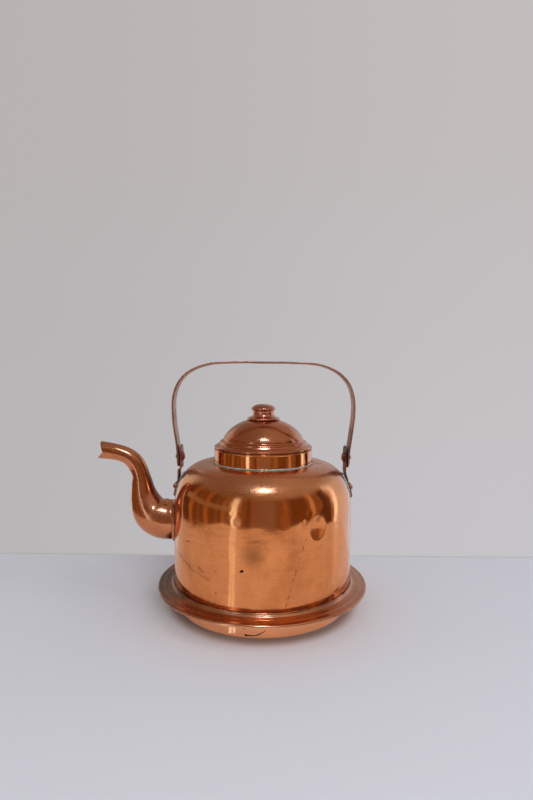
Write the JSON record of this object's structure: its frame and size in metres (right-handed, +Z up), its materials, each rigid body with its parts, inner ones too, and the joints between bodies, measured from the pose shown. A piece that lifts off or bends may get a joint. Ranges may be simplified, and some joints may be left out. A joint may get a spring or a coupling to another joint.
{
  "type": "stove kettle",
  "caption": "Copper stove kettle with a sunk base and wide brim, a swan-neck spout, a domed lift-off lid and a flat swinging bail handle.",
  "frame": {"origin": "on the kettle's vertical axis at the flat underside of the base pan", "axes": "+Z up; the spout points along -X, so +X is away from the spout and Y runs across the kettle from side to side of the bail's swing"},
  "size_m": [0.2723, 0.21, 0.2444],
  "materials": {
    "body_copper": "hand-polished red copper with a light aged tone, dents and fine scratches",
    "base_copper": "rubbed red copper, satin, with pits and a long scratch",
    "collar_copper": "bright polished copper band with a green-blue ring of old verdigris at its foot",
    "spout_copper": "aged polished copper with dark pits and a dark solder joint",
    "lid_copper": "polished copper, slightly hazy, with drip marks",
    "knob_copper": "darkened, handled copper",
    "handle_copper": "dull handled copper strap",
    "lug_copper": "dark copper strap with verdigris underneath",
    "fastener_copper": "hammered copper rivets and washers",
    "tinned_copper": "copper with a wiped tin lining, dull grey"
  },
  "bodies": {
    "kettle": {"base_pan": "base_copper", "body_shell": "body_copper", "neck_collar": "collar_copper", "spout": "spout_copper", "lug_left": "lug_copper", "lug_rivet_left_front": "fastener_copper", "lug_rivet_left_back": "fastener_copper", "pivot_rivet_left": "fastener_copper", "pivot_washer_left": "fastener_copper", "lug_right": "lug_copper", "lug_rivet_right_front": "fastener_copper", "lug_rivet_right_back": "fastener_copper", "pivot_rivet_right": "fastener_copper", "pivot_washer_right": "fastener_copper"},
    "bail": {"handle": "handle_copper"},
    "lid": {"lid_dome": "lid_copper", "lid_sleeve": "tinned_copper", "lid_knob": "knob_copper", "knob_washer": "fastener_copper", "knob_rivet": "fastener_copper"}
  },
  "joints": [
    {"name": "bail_swing", "type": "hinge", "parent": "kettle", "child": "bail", "pos_m": [0, 0, 0.148], "axis": [1, 0, 0], "range_deg": [-105, 105]},
    {"name": "lid_lift", "type": "slide", "parent": "kettle", "child": "lid", "axis": [0, 0, 1], "range_m": [0, 0.036]}
  ]
}
